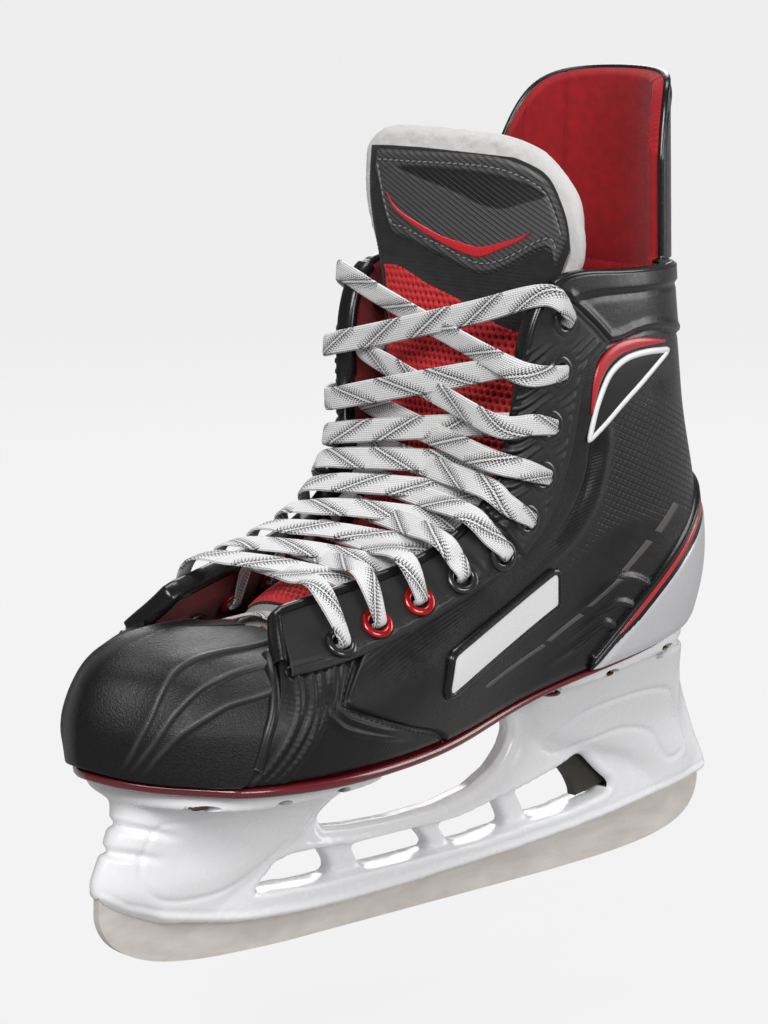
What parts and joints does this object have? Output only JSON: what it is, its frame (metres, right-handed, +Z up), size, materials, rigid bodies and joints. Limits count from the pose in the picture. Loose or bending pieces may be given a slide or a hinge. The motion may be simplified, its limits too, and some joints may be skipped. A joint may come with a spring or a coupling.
{
  "type": "ice hockey skate",
  "caption": "Left ice hockey skate: stiff lace-up boot with tongue and tendon guard, a moulded blade holder with release trigger, and a steel runner.",
  "frame": {"origin": "on the ice plane, under the middle of the steel runner's ground edge", "axes": "+Z up, +X towards the heel, -X towards the toe, +Y towards the inner (medial) side, -Y towards the outer (lateral) side"},
  "size_m": [0.2938, 0.1044, 0.287],
  "materials": {
    "upper_shell": "glossy synthetic, printed and embossed",
    "facing": "satin synthetic, fine twill emboss",
    "toe_plastic": "matte pebble grain",
    "lining_red": "brushed lining",
    "tongue_mesh": "open honeycomb mesh",
    "tongue_felt": "thick felt",
    "tongue_face": "embossed synthetic",
    "heel_silver": "silver",
    "sole_red": "dark red composite",
    "holder_white": "moulded, satin",
    "runner_steel": "ground",
    "spring_steel": "drawn wire",
    "black_plastic": "moulded",
    "rivet_copper": "coppery plating",
    "eyelet_black": "satin black",
    "eyelet_red": "satin red",
    "lace_white": "flat woven with dark tracers",
    "badge": "printed emblem plate, blank",
    "footbed": "foam with cloth cover",
    "board": "stiff fibre board"
  },
  "bodies": {
    "boot": {"quarter_lateral": "upper_shell", "liner_lateral": "lining_red", "eyestay_lateral": "facing", "ankle_badge_lateral": "badge", "quarter_medial": "upper_shell", "liner_medial": "lining_red", "eyestay_medial": "facing", "ankle_badge_medial": "badge", "side_badge_lateral": "badge", "heel_cap": "heel_silver", "toe_cap": "toe_plastic", "insole": "footbed", "tongue_lower": "tongue_mesh", "rivet_front_lateral_1": "rivet_copper", "rivet_front_medial_1": "rivet_copper", "rivet_front_lateral_2": "rivet_copper", "rivet_front_medial_2": "rivet_copper", "rivet_front_lateral_3": "rivet_copper", "rivet_front_medial_3": "rivet_copper", "rivet_front_lateral_4": "rivet_copper", "rivet_front_medial_4": "rivet_copper", "rivet_rear_lateral_1": "rivet_copper", "rivet_rear_medial_1": "rivet_copper", "rivet_rear_lateral_2": "rivet_copper", "rivet_rear_medial_2": "rivet_copper", "rivet_rear_lateral_3": "rivet_copper", "rivet_rear_medial_3": "rivet_copper", "outsole": "sole_red", "midsole_board": "board", "holder": "holder_white", "trigger_pin": "runner_steel", "trigger_spring": "spring_steel", "eyelet_lateral_1": "eyelet_black", "eyelet_lateral_2": "eyelet_black", "eyelet_lateral_3": "eyelet_black", "eyelet_lateral_4": "eyelet_black", "eyelet_lateral_5": "eyelet_black", "eyelet_lateral_6": "eyelet_black", "eyelet_lateral_7": "eyelet_black", "eyelet_lateral_8": "eyelet_red", "eyelet_lateral_9": "eyelet_red", "eyelet_lateral_10": "eyelet_black", "eyelet_medial_1": "eyelet_black", "eyelet_medial_2": "eyelet_black", "eyelet_medial_3": "eyelet_black", "eyelet_medial_4": "eyelet_black", "eyelet_medial_5": "eyelet_black", "eyelet_medial_6": "eyelet_black", "eyelet_medial_7": "eyelet_black", "eyelet_medial_8": "eyelet_red", "eyelet_medial_9": "eyelet_red", "eyelet_medial_10": "eyelet_black", "lace": "lace_white"},
    "tongue": {"tongue_upper": "tongue_face", "tongue_felt": "tongue_felt", "tongue_badge": "tongue_face"},
    "tendon_guard": {"tendon_guard": "upper_shell", "tendon_guard_liner": "lining_red"},
    "trigger": {"release_trigger": "black_plastic"},
    "runner": {"runner": "runner_steel"}
  },
  "joints": [
    {"name": "tongue_flex", "type": "hinge", "parent": "boot", "child": "tongue", "pos_m": [0.0152, 0, 0.2209], "axis": [0.184, -0.9829, 0], "range_deg": [-4, 55], "stiffness_Nm_per_rad": 0.25},
    {"name": "tendon_guard_flex", "type": "hinge", "parent": "boot", "child": "tendon_guard", "pos_m": [0.1045, 0, 0.2205], "axis": [0, 1, 0], "range_deg": [0, 32], "stiffness_Nm_per_rad": 0.8},
    {"name": "trigger_pull", "type": "hinge", "parent": "boot", "child": "trigger", "pos_m": [0.093, 0, 0.031], "axis": [0, 1, 0], "range_deg": [0, 16], "stiffness_Nm_per_rad": 0.4, "springref_deg": -11.46},
    {"name": "runner_release", "type": "hinge", "parent": "boot", "child": "runner", "pos_m": [-0.118, 0, 0.027], "axis": [0, 1, 0], "range_deg": [0, 9]}
  ]
}
